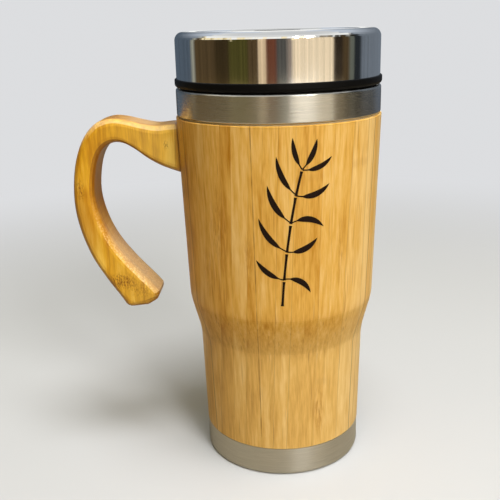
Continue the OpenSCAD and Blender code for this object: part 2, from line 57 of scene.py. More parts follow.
class Nodes:
    """A node tree under construction. Its methods add nodes and return their main output."""

    def __init__(self, tree):
        self.tree = tree
        self.coordinates = tree.nodes.new("ShaderNodeTexCoord")

    def put(self, socket, value):
        """Feeds the socket from a node's output or with a fixed value; None leaves it as it is."""
        if isinstance(value, bpy.types.NodeSocket):
            self.tree.links.new(value, socket)
        elif value is not None:
            socket.default_value = value

    def put_all(self, node, **sockets):
        """Feeds each socket by its name, with _ for a blank."""
        for name, value in sockets.items():
            self.put(node.inputs[name.replace("_", " ")], value)

    def math(self, operation, first, second=None, third=None):
        node = self.tree.nodes.new("ShaderNodeMath")
        node.operation = operation
        for socket, value in zip(node.inputs, (first, second, third)):
            self.put(socket, value)
        return node.outputs[0]

    def apart(self, first, second):
        return self.math("ABSOLUTE", self.math("SUBTRACT", first, second))

    def whole_and_rest(self, value):
        return self.math("FLOOR", value), self.math("FRACT", value)

    def vector(self, operation, first, second=None, scale=None):
        node = self.tree.nodes.new("ShaderNodeVectorMath")
        node.operation = operation
        self.put(node.inputs[0], first)
        self.put(node.inputs[1], second)
        self.put(node.inputs[3], scale)
        return node.outputs["Value" if operation == "LENGTH" else "Vector"]

    def split(self, vector):
        node = self.tree.nodes.new("ShaderNodeSeparateXYZ")
        self.put(node.inputs[0], vector)
        return node.outputs

    def join(self, x, y, z=0.0):
        node = self.tree.nodes.new("ShaderNodeCombineXYZ")
        for socket, value in zip(node.inputs, (x, y, z)):
            self.put(socket, value)
        return node.outputs[0]

    def place_mm(self):
        return self.vector("SCALE", self.coordinates.outputs["Object"], scale=1.0 / MM)

    def radius_mm(self):
        x, y, _ = self.split(self.place_mm())
        return self.math("SQRT", self.math("MULTIPLY_ADD", x, x, self.math("MULTIPLY", y, y)))

    def away(self, centre, reach):
        """How far a place is from the centre: 0 at it, and 1 at its reach along X, Y or Z."""
        offset = self.vector("SUBTRACT", self.place_mm(), centre)
        return self.vector("LENGTH", self.vector("DIVIDE", offset, reach))

    def noise(self, vector, scale, detail=2.0, roughness=0.5, distortion=0.0):
        node = self.tree.nodes.new("ShaderNodeTexNoise")
        self.put_all(node, Vector=vector, Scale=scale, Detail=detail, Roughness=roughness,
                     Distortion=distortion)
        return node.outputs["Fac"]

    def squeezed(self, place, squeeze):
        """The place with that share of its height, which draws a pattern out along Z."""
        return self.vector("MULTIPLY", place, (1.0, 1.0, squeeze))

    def grain(self, place, squeeze, scale, detail=2.0, roughness=0.5):
        """Noise drawn out along Z."""
        return self.noise(self.squeezed(place, squeeze), scale, detail, roughness)

    def bundles(self, vector, scale):
        """Distance to the nearest of many scattered points, and a random value of that point's own."""
        node = self.tree.nodes.new("ShaderNodeTexVoronoi")
        self.put_all(node, Vector=vector, Scale=scale)
        return node.outputs["Distance"], self.split(node.outputs["Color"])[0]

    def chance(self, vector):
        node = self.tree.nodes.new("ShaderNodeTexWhiteNoise")
        node.noise_dimensions = "3D"
        self.put(node.inputs["Vector"], vector)
        return node.outputs["Value"]

    def fade(self, value, start, end, first=0.0, last=1.0):
        """A smooth step from first to last as the value goes from start to end."""
        node = self.tree.nodes.new("ShaderNodeMapRange")
        node.interpolation_type = "SMOOTHSTEP"
        self.put_all(node, Value=value, From_Min=start, From_Max=end, To_Min=first, To_Max=last)
        return node.outputs["Result"]

    def rise(self, value, start, end, top=1.0):
        return self.fade(value, start, end, 0.0, top)

    def fall(self, value, start, end, top=1.0):
        return self.fade(value, start, end, top, 0.0)

    def band(self, value, rise, fall, top=1.0, left=0.0):
        """Rises to top over the first range of the value, and falls to the share left over the second."""
        return self.math("MULTIPLY", self.rise(value, *rise, top), self.fade(value, *fall, 1.0, left))

    def mix(self, share, first, second, blend="MIX"):
        node = self.tree.nodes.new("ShaderNodeMix")
        node.data_type = "RGBA"
        node.blend_type = blend
        for socket, value in ((node.inputs[0], share), (node.inputs[6], first), (node.inputs[7], second)):
            self.put(socket, value)
        return node.outputs[2]

    def ramp(self, value, stops):
        node = self.tree.nodes.new("ShaderNodeValToRGB")
        elements = node.color_ramp.elements
        while len(elements) < len(stops):
            elements.new(0.5)
        for element, (position, colour) in zip(elements, stops):
            element.position = position
            element.color = colour
        self.put(node.inputs["Fac"], value)
        return node.outputs["Color"]

    def bump(self, height, strength, distance_mm):
        node = self.tree.nodes.new("ShaderNodeBump")
        self.put_all(node, Height=height, Strength=strength, Distance=distance_mm * MM)
        return node.outputs["Normal"]

    def either(self, share, first, second):
        """The first shader, with that share of the second one."""
        node = self.tree.nodes.new("ShaderNodeMixShader")
        for socket, value in zip(node.inputs, (share, first, second)):
            self.put(socket, value)
        return node.outputs[0]


class Paint(Nodes):
    """A material. Its end is finish, for the Principled shader's values, or finish_with another shader."""

    def __init__(self, name):
        self.material = bpy.data.materials.new(name)
        self.material.use_nodes = True
        super().__init__(self.material.node_tree)
        self.shader = self.tree.nodes["Principled BSDF"]
        self.output = self.tree.nodes["Material Output"]

    def glow(self, colour, strength):
        node = self.tree.nodes.new("ShaderNodeEmission")
        self.put_all(node, Color=colour, Strength=strength)
        return node.outputs[0]

    def finish(self, **sockets):
        self.put_all(self.shader, **sockets)
        return self.material

    def finish_with(self, shader):
        self.put(self.output.inputs["Surface"], shader)
        return self.material


# Bamboo: the tones of a cut board, its fibres, the glue between its strips and its cut ends
SLEEVE_TONES = (srgb(186, 123, 14), srgb(227, 178, 86), srgb(246, 210, 138))
HANDLE_TONES = (srgb(178, 113, 5), srgb(225, 168, 36), srgb(248, 208, 94))
FIBRE = srgb(168, 106, 30)
# The glue's tone, also used for painted contact shadow at the handle's root
SEAM = srgb(132, 82, 30)
END_GRAIN = srgb(222, 212, 146)
# A pale tone for painted highlights: along the sleeve's foot and in specks on the grip's bevel
PAINTED_HIGHLIGHT = srgb(250, 222, 156)
FLECK = srgb(116, 58, 4)
LOWER_TINT, LOWER_SHARE = srgb(84, 100, 78), 0.74
ROOT_TINT, ROOT_SHARE = srgb(100, 112, 66), 0.8
# Tones of painted highlight on the handle's top and of painted shade on its faces; the amber also tints a
# darker patch
PAINTED_TOP_HIGHLIGHT = srgb(255, 238, 200)
SHADED = srgb(118, 66, 14)
AMBER = srgb(172, 100, 4)
WARM_SHINE = (1.0, 0.82, 0.50, 1.0)

# Strips: how far they lean, how much their widths vary, and the seeds of what each draws for itself
STRIP_LEAN = -0.03
WANDER_SCALE, WANDER_STRIPS = 0.07, 1.6
TONE_SEED, OTHER_SEED, KNOT_SEED, GLUE_SEED = 5.0, 9.0, 2.0, (3.0, 1.0)

# Fibres: how far each strip's are from its neighbour's in the pattern, and how they sway
FIBRE_SHIFT_MM = 37.0
SWAY_MM, SWAY_SCALES = 1.5, (0.05, 0.05, 0.012)

# Patterns of the grain, each a noise drawn out along Z, and the strokes of the flecks
FINE = dict(squeeze=0.075, scale=1.9, detail=3.0, roughness=0.6)
STREAKS = dict(squeeze=0.080, scale=0.66, detail=3.0, roughness=0.62)
BROAD = dict(squeeze=0.10, scale=0.22)
CLOUD = dict(squeeze=0.35, scale=0.085, detail=3.0, roughness=0.6)
SPECK = dict(squeeze=0.30, scale=1.8, detail=2.0, roughness=0.6)
STROKES = dict(scale=2.3, detail=3.0, roughness=0.6)

# How much each of them counts in how pale a place is, and the levels of the three tones
BASE_LEVEL, STRIP_WEIGHT, STRIP_OFFSET = 0.30, 0.30, -0.05
BROAD_WEIGHT, STREAK_WEIGHT, FINE_WEIGHT, SKIN_WEIGHT = 0.44, 0.80, 0.34, -0.10
CLOUD_EDGE = (0.32, 0.68)
# Painted shade to the mug's left and painted light to its right: where each fades in along X, and its weight
LEFT_SHADE_MM, LEFT_SHADE_WEIGHT = (4.0, -38.0), -0.12
RIGHT_LIGHT_MM, RIGHT_LIGHT_WEIGHT = (2.0, 30.0), 0.16
TONE_LEVELS = (0.16, 0.54, 0.88)

# Fibre bundles: their spacing, their sizes from the strip's inner side to its skin, and their darkness
BUNDLE_SQUEEZE, BUNDLE_SCALE = 0.035, 0.95
BUNDLE_SIZES, BUNDLE_EDGE = (0.20, 0.36), (0.50, 1.15)
BUNDLE_CHANCE, BUNDLE_DARKNESS, BUNDLE_WEIGHT = (0.35, 0.95), (0.04, 0.80), 0.60

# Surfaces that cut across the fibres: from what slant on, how much darker and how strongly speckled
CUT_SLANT, CUT_DARKNESS = (0.11, 0.18), 0.85
DASH_EDGE, DASH_SHARE = (0.50, 0.68), 0.30

# Joints of the cane: one somewhere in this length of each strip, with a wavy edge
KNOT_SPREAD_MM, KNOT_WAVE_MM, KNOT_EDGE_MM = 420.0, 3.0, (0.4, 2.6)

# Glue lines between the strips, of differing darkness, and between the plies
SEAM_EDGE_MM, SEAM_CHANCE, SEAM_DARKNESS = (0.04, 0.26), (0.30, 0.95), (0.04, 0.55)
PLY_EDGE_MM, PLY_DARKNESS = (0.08, 0.34), 0.75

# The bamboo's surface: its roughness, how deep its bundles and seams lie, and how strong its relief is
BASE_ROUGHNESS, FINE_ROUGHNESS, CUT_ROUGHNESS = 0.30, 0.16, 0.10
BUNDLE_DEPTH, SEAM_DEPTH = 0.5, 0.4
RELIEF_STRENGTH, RELIEF_MM = 0.24, 0.10

# The sleeve's ends, its shoulder and its taper above it
SLEEVE_FOOT_MM, SLEEVE_TOP_MM = 12.7, 152.8
WAIST_MM = 58.0
SHOULDER_MM, SHOULDER_R_MM, SLEEVE_TAPER = 74.3, 40.5, 2.4 / 78.5
TOP_EDGE_MM, TOP_EDGE_SHARE = 1.1, 0.16
# A painted highlight along the sleeve's foot: its height and share
FOOT_HIGHLIGHT_MM, FOOT_HIGHLIGHT_SHARE = 1.0, 0.4

# A longer glue joint down the sleeve's front, to the left of its middle
LONG_JOINT_MM, LONG_JOINT_LEAN = -8.8, 0.012
LONG_JOINT_EDGE_MM = (0.08, 0.34)
WORN_SCALE, WORN_EDGE, WORN_SHARES = 0.09, (0.35, 0.62), (0.15, 0.75)

# Where the handle's paler root begins and where it is palest, along X, and the glue joint with painted
# contact shadow at its end
HANDLE_MIDDLE_MM, HANDLE_ROOT_MM = -84.0, -46.0
HANDLE_JOINT_SHADOW_MM, HANDLE_JOINT_SHADOW_SHARE = (0.25, 0.8), 0.75

# Places, half sizes and strengths of the darker flecks on the sleeve and on the handle
SLEEVE_FLECKS = [
    ((15.5, -32.0, 30.0), (3.0, 9.0, 17.0), 0.60),
    ((7.5, -42.0, 134.0), (3.6, 9.0, 6.0), 0.35),
    ((-24.0, -33.0, 112.0), (6.0, 12.0, 24.0), 0.50),
    ((-29.0, -30.0, 92.0), (4.0, 12.0, 16.0), 0.40),
    ((-12.5, -39.0, 101.0), (2.6, 9.0, 14.0), 0.45),
    ((24.0, -34.0, 104.0), (2.0, 9.0, 18.0), 0.45),
    ((-27.0, -27.0, 38.0), (2.6, 9.0, 12.0), 0.45)]
HANDLE_FLECKS = [
    ((-84.8, -8.0, 122.5), (2.4, 6.0, 6.5), 0.95),
    ((-47.0, -9.0, 141.3), (1.5, 3.0, 2.7), 0.7),
    ((-70.0, -8.0, 81.5), (8.5, 6.0, 5.0), 1.0),
    ((-62.0, -9.0, 77.5), (8.0, 6.0, 5.5), 0.45)]
FLECK_EDGE, STROKE_EDGE = (0.2, 1.0), (0.40, 0.64)

# A darker patch on the grip's outer half: its place, its half size and its strength
DARK_PATCH_MM, DARK_PATCH_REACH_MM = (-86.0, -8.0, 106.0), (11.0, 30.0, 26.0)
DARK_PATCH_EDGE, DARK_PATCH_SHARE = (0.3, 1.0), 0.50

# The handle's painted shade and highlights by the way its surface faces: ranges of that direction, and shares
# of the tone
INWARD_SHADE_EDGE, INWARD_SHADE_SHARE = (0.25, 0.75), 0.56
INNER_SLOPE, INNER_EDGE = -1.2, (0.35, 1.0)
OUTER_SLOPE, OUTER_EDGE = -0.8, (0.3, 0.95)
SHADED_SHARE = 0.62
GLEAM_RISE, GLEAM_FALL, GLEAM_SHARE = (0.25, 0.60), (0.75, 0.97), 0.24
TOP_FACE, TOP_FACE_SHARE = (0.88, 0.98), 0.55
# Painted specks of highlight on the bevel inside the grip: its range of facing and shares, the specks' scale
# and edge, and the heights over which they grow towards the lower end
BEVEL_RISE, BEVEL_FALL, BEVEL_SHARE, BEVEL_LEFT = (0.15, 0.45), (0.70, 0.95), 0.45, 0.2
SPECKLE_SCALE, SPECKLE_EDGE, SPECKLE_BELOW_MM = 1.1, (0.46, 0.64), (122.0, 98.0)


class Strips:
    """The strips of a board, glued side by side and in plies: which one a place is in, and where in it."""

    def __init__(self, paint, strip_mm, ply_mm):
        self.strip_mm = strip_mm
        self.ply_mm = ply_mm
        x, y, z = paint.split(paint.place_mm())
        even = paint.math("DIVIDE", paint.math("MULTIPLY_ADD", z, STRIP_LEAN, x), strip_mm)
        wander = paint.noise(paint.join(x, 0.0, 0.0), WANDER_SCALE, 1.0)
        across = paint.math("ADD", even, paint.math("MULTIPLY", wander, WANDER_STRIPS))
        deep = paint.math("ADD", paint.math("DIVIDE", y, ply_mm), 0.5)
        self.strip, self.in_strip = paint.whole_and_rest(across)
        self.ply, self.in_ply = paint.whole_and_rest(deep)
        self.tone = paint.chance(paint.join(self.strip, self.ply, TONE_SEED))
        self.other = paint.chance(paint.join(self.ply, self.strip, OTHER_SEED))

        # 0 at the strip's inner side and 1 at its skin, which is to its left or to its right
        flipped = paint.math("GREATER_THAN", self.other, 0.5)
        self.skinward = paint.apart(self.in_strip, flipped)


def fibre_place(paint, strips):
    """The place among the fibres: each strip has its own, along Z, and they sway a little."""
    shift = paint.vector("SCALE", paint.join(strips.tone, strips.other, strips.tone), scale=FIBRE_SHIFT_MM)
    moved = paint.vector("ADD", paint.place_mm(), shift)
    sway = paint.noise(paint.vector("MULTIPLY", moved, SWAY_SCALES), 1.0)
    sway = paint.math("MULTIPLY_ADD", sway, 2 * SWAY_MM, -SWAY_MM)
    return paint.vector("ADD", moved, paint.join(sway, sway))


def board_level(paint, strips, fibres, plank_contrast, mottling):
    """How pale a place is by its strip, its nearness to the strip's skin, clouds, and painted shade to the
    mug's left and painted light to its right.
    """
    level = paint.math("MULTIPLY_ADD", strips.tone, STRIP_WEIGHT * plank_contrast,
                       BASE_LEVEL + STRIP_OFFSET * plank_contrast)
    level = paint.math("MULTIPLY_ADD", paint.grain(fibres, **BROAD), BROAD_WEIGHT, level)
    cloud = paint.fade(paint.grain(fibres, **CLOUD), *CLOUD_EDGE)
    level = paint.math("MULTIPLY_ADD", paint.math("SUBTRACT", cloud, 0.5), mottling, level)
    level = paint.math("MULTIPLY_ADD", strips.skinward, SKIN_WEIGHT * plank_contrast, level)
    x, _, _ = paint.split(paint.place_mm())
    # Painted shade to the mug's left and painted light to its right, by X
    for side_mm, weight in ((LEFT_SHADE_MM, LEFT_SHADE_WEIGHT), (RIGHT_LIGHT_MM, RIGHT_LIGHT_WEIGHT)):
        level = paint.math("ADD", level, paint.rise(x, *side_mm, weight * plank_contrast))
    return level


def bundle_dots(paint, strips, fibres):
    """Dark fibre bundles drawn out along Z, thicker towards each strip's skin."""
    distance, own = paint.bundles(paint.squeezed(fibres, BUNDLE_SQUEEZE), BUNDLE_SCALE)
    size = paint.fade(strips.skinward, 0.0, 1.0, *BUNDLE_SIZES)
    dots = paint.fall(paint.math("DIVIDE", distance, size), *BUNDLE_EDGE)
    return paint.math("MULTIPLY", dots, paint.fade(own, *BUNDLE_CHANCE, *BUNDLE_DARKNESS))


def cut_across(paint, colour, fibres, share):
    """A surface that slants across the fibres is darker and speckled. Gives how far it is, and its specks."""
    upward = paint.split(paint.coordinates.outputs["Normal"])[2]
    cut = paint.rise(paint.math("ABSOLUTE", upward), *CUT_SLANT, share)
    speck = paint.grain(fibres, **SPECK)
    colour = paint.mix(paint.math("MULTIPLY", cut, CUT_DARKNESS), colour, END_GRAIN, "MULTIPLY")
    dashes = paint.math("MULTIPLY", paint.rise(speck, *DASH_EDGE, DASH_SHARE), cut)
    return paint.mix(dashes, colour, FIBRE), cut, speck


def knotted(paint, colour, strips, streaks, share):
    """Where a strip has a joint of the cane, a short dark bar lies across it."""
    z = paint.split(paint.place_mm())[2]
    draw = paint.chance(paint.join(strips.ply, strips.strip, KNOT_SEED))
    off = paint.apart(paint.math("MULTIPLY_ADD", streaks, KNOT_WAVE_MM, z),
                      paint.math("MULTIPLY", draw, KNOT_SPREAD_MM))
    return paint.mix(paint.fall(off, *KNOT_EDGE_MM, share), colour, FIBRE)


def from_edge(paint, share, width_mm):
    """The distance in mm to the nearer edge of a strip, from the share of its width that is passed."""
    nearer = paint.math("MINIMUM", share, paint.math("SUBTRACT", 1.0, share))
    return paint.math("MULTIPLY", nearer, width_mm)


def glue_lines(paint, strips, plank_contrast):
    """The seams between the strips, each with glue of its own darkness, and between the plies."""
    seam = paint.fall(from_edge(paint, strips.in_strip, strips.strip_mm), *SEAM_EDGE_MM)
    glue = paint.chance(paint.join(strips.strip, *GLUE_SEED))
    faint, dark = SEAM_DARKNESS
    seam = paint.math("MULTIPLY", seam, paint.fade(glue, *SEAM_CHANCE, faint, dark * plank_contrast))
    ply_seam = paint.fall(from_edge(paint, strips.in_ply, strips.ply_mm), *PLY_EDGE_MM, PLY_DARKNESS)
    return paint.math("MAXIMUM", seam, ply_seam)


def bamboo(name, tones, strip_mm, ply_mm, plank_contrast, streak_contrast, mottling, end_share, knot_share):
    """Bamboo strips glued side by side and in plies, with their fibres along Z."""
    paint = Paint(name)
    strips = Strips(paint, strip_mm, ply_mm)
    fibres = fibre_place(paint, strips)
    fine = paint.grain(fibres, **FINE)
    streaks = paint.grain(fibres, **STREAKS)
    level = board_level(paint, strips, fibres, plank_contrast, mottling)
    for pattern, weight in ((streaks, STREAK_WEIGHT), (fine, FINE_WEIGHT)):
        middled = paint.math("SUBTRACT", pattern, 0.5)
        level = paint.math("MULTIPLY_ADD", middled, weight * streak_contrast, level)
    colour = paint.ramp(level, list(zip(TONE_LEVELS, tones)))
    dots = bundle_dots(paint, strips, fibres)
    colour = paint.mix(paint.math("MULTIPLY", dots, BUNDLE_WEIGHT * streak_contrast), colour, FIBRE)
    colour, cut, speck = cut_across(paint, colour, fibres, end_share)
    colour = knotted(paint, colour, strips, streaks, knot_share)
    seam = glue_lines(paint, strips, plank_contrast)
    colour = paint.mix(seam, colour, SEAM)

    roughness = paint.math("MULTIPLY_ADD", fine, FINE_ROUGHNESS, BASE_ROUGHNESS)
    roughness = paint.math("MULTIPLY_ADD", cut, CUT_ROUGHNESS, roughness)
    raised = paint.math("MULTIPLY_ADD", speck, cut, fine)
    sunk = paint.math("MULTIPLY_ADD", dots, BUNDLE_DEPTH, paint.math("MULTIPLY", seam, SEAM_DEPTH))
    relief = paint.bump(paint.math("SUBTRACT", raised, sunk), RELIEF_STRENGTH, RELIEF_MM)
    return paint, colour, dict(Roughness=roughness, Normal=relief)


def flecked(paint, colour, flecks, tone, squeeze):
    """Darkens the colour in strokes along Z round each of the flecks' places, the longer for less squeeze."""
    strokes = paint.fade(paint.grain(paint.place_mm(), squeeze, **STROKES), *STROKE_EDGE)
    for centre, reach, strength in flecks:
        near = paint.fall(paint.away(centre, reach), *FLECK_EDGE, strength)
        colour = paint.mix(paint.math("MULTIPLY", near, strokes), colour, tone)
    return colour


def sleeve_bamboo():
    """The sleeve's bamboo: paler below its shoulder, with a painted highlight along its foot, a long joint
    and flecks.
    """
    paint, colour, rest = bamboo("sleeve bamboo", SLEEVE_TONES, strip_mm=5.8, ply_mm=38.0,
                                 plank_contrast=0.78, streak_contrast=1.0, mottling=0.14,
                                 end_share=0.45, knot_share=0.14)
    x, _, z = paint.split(paint.place_mm())
    colour = paint.mix(paint.fall(z, WAIST_MM, SHOULDER_MM, LOWER_SHARE), colour, LOWER_TINT, "SCREEN")
    off = paint.apart(paint.math("MULTIPLY_ADD", z, LONG_JOINT_LEAN, x), LONG_JOINT_MM)
    worn = paint.fade(paint.noise(paint.join(0.0, 0.0, z), WORN_SCALE), *WORN_EDGE, *WORN_SHARES)
    colour = paint.mix(paint.math("MULTIPLY", paint.fall(off, *LONG_JOINT_EDGE_MM), worn), colour, SEAM)
    colour = flecked(paint, colour, SLEEVE_FLECKS, FIBRE, squeeze=0.09)
    colour = paint.mix(paint.rise(z, SLEEVE_TOP_MM - TOP_EDGE_MM, SLEEVE_TOP_MM, TOP_EDGE_SHARE),
                       colour, FIBRE)
    # A painted highlight where the foot's edge catches light
    colour = paint.mix(paint.fall(z, SLEEVE_FOOT_MM, SLEEVE_FOOT_MM + FOOT_HIGHLIGHT_MM, FOOT_HIGHLIGHT_SHARE),
                       colour, PAINTED_HIGHLIGHT)
    return paint.finish(Base_Color=colour, Specular_IOR_Level=0.26, Coat_Weight=0.06, Coat_Roughness=0.22,
                        **rest)


def painted_shade_and_highlights(paint, colour):
    """The handle's painted shade and highlights: amber and darker painted shade inside the grip, a darker
    patch, painted shade down its outer edge, a painted highlight above.
    """
    inward, _, up = paint.split(paint.coordinates.outputs["Normal"])
    outward = paint.math("MULTIPLY", inward, -1.0)
    # Painted shade in amber on faces turned towards the mug
    colour = paint.mix(paint.rise(inward, *INWARD_SHADE_EDGE, INWARD_SHADE_SHARE), colour, AMBER)
    dark_patch = paint.fall(paint.away(DARK_PATCH_MM, DARK_PATCH_REACH_MM), *DARK_PATCH_EDGE, DARK_PATCH_SHARE)
    colour = paint.mix(dark_patch, colour, AMBER)
    # Painted shade on faces inside the grip and down its outer edge, the stronger the more they face down
    for facing, slope, edge in ((inward, INNER_SLOPE, INNER_EDGE), (outward, OUTER_SLOPE, OUTER_EDGE)):
        shaded = paint.rise(paint.math("MULTIPLY_ADD", up, slope, facing), *edge, SHADED_SHARE)
        colour = paint.mix(shaded, colour, SHADED)

    # The edges along the top get a painted highlight, its flat is browner, and the bevel inside the grip gets
    # painted specks of highlight
    colour = paint.mix(paint.band(up, GLEAM_RISE, GLEAM_FALL, GLEAM_SHARE), colour, PAINTED_TOP_HIGHLIGHT)
    colour = paint.mix(paint.rise(up, *TOP_FACE, TOP_FACE_SHARE), colour, FIBRE)
    # Painted specks of highlight on the bevel inside the grip, towards its lower end
    highlight_specks = paint.fade(paint.noise(paint.place_mm(), SPECKLE_SCALE, roughness=0.7), *SPECKLE_EDGE)
    z = paint.split(paint.place_mm())[2]
    highlight_specks = paint.math("MULTIPLY", highlight_specks, paint.rise(z, *SPECKLE_BELOW_MM))
    bevel = paint.band(inward, BEVEL_RISE, BEVEL_FALL, BEVEL_SHARE, BEVEL_LEFT)
    return paint.mix(paint.math("MULTIPLY", highlight_specks, bevel), colour, PAINTED_HIGHLIGHT)


def handle_bamboo():
    """The handle's bamboo, glossier, with flecks on its grip and a dark glue joint with painted contact
    shadow where it meets the sleeve.
    """
    paint, colour, rest = bamboo("handle bamboo", HANDLE_TONES, strip_mm=17.0, ply_mm=7.2,
                                 plank_contrast=0.45, streak_contrast=0.95, mottling=0.42,
                                 end_share=0.0, knot_share=0.2)
    x, _, z = paint.split(paint.place_mm())
    at_root = paint.rise(x, HANDLE_MIDDLE_MM, HANDLE_ROOT_MM, ROOT_SHARE)
    colour = paint.mix(at_root, colour, ROOT_TINT, "SCREEN")
    colour = flecked(paint, colour, HANDLE_FLECKS, FLECK, squeeze=0.40)
    colour = painted_shade_and_highlights(paint, colour)
    # A glue joint with painted contact shadow where the handle meets the sleeve
    above = paint.math("SUBTRACT", z, SHOULDER_MM)
    sleeve_radius = paint.math("MULTIPLY_ADD", above, SLEEVE_TAPER, SHOULDER_R_MM)
    off = paint.math("SUBTRACT", paint.radius_mm(), sleeve_radius)
    colour = paint.mix(paint.fall(off, *HANDLE_JOINT_SHADOW_MM, HANDLE_JOINT_SHADOW_SHARE), colour, SEAM)
    return paint.finish(Base_Color=colour, Specular_IOR_Level=0.62, Specular_Tint=WARM_SHINE,
                        Coat_Weight=0.30, Coat_Roughness=0.27, **rest)


# Steel: its tints, how close its grooves lie along it and round it, and what they and its wear do
STEEL_TINT = (0.56, 0.55, 0.515, 1.0)
ZINC_TINT = (0.62, 0.62, 0.62, 1.0)
POLISHED_TINTS = ((0.80, 0.79, 0.77, 1.0), (0.74, 0.73, 0.71, 1.0))
GROOVES_ALONG, GROOVES_ROUND, GROOVE_EDGE = 3.0, 1.4, (0.3, 0.7)
GROOVE_TINT = 0.8
PATCH_ROUGHNESS = 0.05
WIPED_EDGE, WIPED_ROUGHNESS, SCRATCH_ROUGHNESS = (0.35, 0.75), (0.045, 0.095), 0.02
WIPED_TINT_EDGE = (0.3, 0.8)
SCRATCHES = dict(squeeze=0.05, scale=3.0, detail=2.0, roughness=0.7)


def brushed_steel(name, tint, low, high, flat_rings=False):
    """Steel brushed round the axis: fine grooves that smear reflections across them."""
    paint = Paint(name)
    x, y, z = paint.split(paint.place_mm())
    across = paint.math("MULTIPLY", paint.radius_mm(), GROOVES_ALONG if flat_rings else 1.0)
    around = paint.math("MULTIPLY", paint.math("ARCTAN2", y, x), GROOVES_ROUND)
    along = paint.math("MULTIPLY", z, GROOVES_ALONG)
    grooves = paint.noise(paint.join(across, around, along), scale=2.2, detail=4.0, roughness=0.75)
    patches = paint.noise(paint.place_mm(), scale=0.05)
    worn = tuple(GROOVE_TINT * value for value in tint[:3]) + (1.0,)
    colour = paint.mix(paint.fade(grooves, *GROOVE_EDGE), tint, worn)
    roughness = paint.math("MULTIPLY_ADD", grooves, high - low, low)
    roughness = paint.math("MULTIPLY_ADD", patches, PATCH_ROUGHNESS, roughness)
    tangent = paint.tree.nodes.new("ShaderNodeTangent")
    tangent.direction_type = "RADIAL"
    tangent.axis = "Z"
    return paint.finish(Base_Color=colour, Metallic=1.0, Roughness=roughness, Anisotropic=0.8,
                        Anisotropic_Rotation=0.25, Tangent=tangent.outputs[0],
                        Normal=paint.bump(grooves, strength=0.08, distance_mm=0.05))


def polished_steel(name):
    """Mirror-polished steel with faint wipe marks."""
    paint = Paint(name)
    marks = paint.noise(paint.place_mm(), scale=0.045, detail=3.0, roughness=0.6)
    scratches = paint.grain(paint.place_mm(), **SCRATCHES)
    roughness = paint.fade(marks, *WIPED_EDGE, *WIPED_ROUGHNESS)
    roughness = paint.math("MULTIPLY_ADD", scratches, SCRATCH_ROUGHNESS, roughness)
    colour = paint.mix(paint.fade(marks, *WIPED_TINT_EDGE), *POLISHED_TINTS)
    return paint.finish(Base_Color=colour, Metallic=1.0, Roughness=roughness,
                        Normal=paint.bump(scratches, strength=0.012, distance_mm=0.02))


def moulded(name, dark, pale, roughness, grain_mm=0.5, bump=0.12, specular=0.5):
    """Moulded plastic or silicone with a fine spark-eroded grain."""
    paint = Paint(name)
    grain = paint.noise(paint.place_mm(), scale=1.0 / grain_mm, roughness=0.6)
    cloud = paint.noise(paint.place_mm(), scale=0.08)
    share = paint.math("MULTIPLY_ADD", cloud, 0.6, paint.math("MULTIPLY", grain, 0.4))
    rough = paint.math("MULTIPLY_ADD", grain, 0.10, roughness - 0.05)
    return paint.finish(Base_Color=paint.mix(share, dark, pale), Roughness=rough,
                        Specular_IOR_Level=specular, Normal=paint.bump(grain, bump, distance_mm=0.04))


def felt(name):
    """Grey felt with matted hairs."""
    paint = Paint(name)
    hairs = paint.noise(paint.place_mm(), scale=3.0, detail=4.0, roughness=0.7, distortion=1.5)
    colour = paint.mix(hairs, srgb(70, 68, 64), srgb(132, 128, 120))
    return paint.finish(Base_Color=colour, Roughness=0.92,
                        Normal=paint.bump(hairs, strength=0.5, distance_mm=0.2))


def burnt(name):
    """The brown-black of a line burnt into wood."""
    paint = Paint(name)
    streaks = paint.grain(paint.place_mm(), squeeze=0.05, scale=2.4, detail=3.0, roughness=0.6)
    colour = paint.mix(streaks, srgb(14, 8, 5), srgb(36, 20, 11))
    return paint.finish(Base_Color=colour, Roughness=0.8, Specular_IOR_Level=0.15,
                        Normal=paint.bump(streaks, strength=0.3, distance_mm=0.05))


BRUSHED = brushed_steel("brushed steel", STEEL_TINT, low=0.16, high=0.30)
BRUSHED_BASE = brushed_steel("brushed base steel", STEEL_TINT, low=0.24, high=0.40, flat_rings=True)
ZINC = brushed_steel("zinc plate", ZINC_TINT, low=0.28, high=0.42)
BLACK = moulded("black moulding", srgb(3, 3, 4), srgb(9, 9, 10), roughness=0.5, specular=0.1)
SILICONE = moulded("clear silicone", srgb(196, 196, 190), srgb(222, 222, 216), roughness=0.48,
                   grain_mm=0.8, bump=0.05)
DARK_SILICONE = moulded("dark silicone", srgb(26, 26, 27), srgb(44, 44, 45), roughness=0.6)
SEAL = moulded("seal", srgb(176, 160, 128), srgb(200, 184, 150), roughness=0.6)

FINISHES = {
    "cup_liner": BRUSHED, "collar_band": BRUSHED, "collar_seal": SEAL,
    "bamboo_sleeve": sleeve_bamboo(), "base_cup": BRUSHED_BASE, "liner_pad": felt("felt"),
    "foot_pad": DARK_SILICONE, "bamboo_handle": handle_bamboo(), "handle_screws": ZINC,
    "lid_cap": polished_steel("polished steel"), "lid_body": BLACK, "lid_tray": BLACK,
    "lid_plate": BLACK, "lid_gasket": SILICONE, "slider_gate": BLACK, "slider_seal": SILICONE}


def dress(node, material):
    """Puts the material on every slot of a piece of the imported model."""
    slots = NODES[node].data.materials
    if len(slots) == 0:
        slots.append(material)
    for index in range(len(slots)):
        slots[index] = material


for node_name, finish in FINISHES.items():
    dress(node_name, finish)


# A sprig of bamboo burnt into the sleeve's front: places are in mm, across from the front line and up
SPRIG_LIFT_MM = 0.04
SPRIG_DEPTH_MM = 0.12
STEM_WIDTH_MM = 0.95
STEM = [(0.6, 81.0), (1.4, 92.0), (2.6, 103.5), (4.2, 115.0), (6.2, 126.0), (8.6, 136.0)]
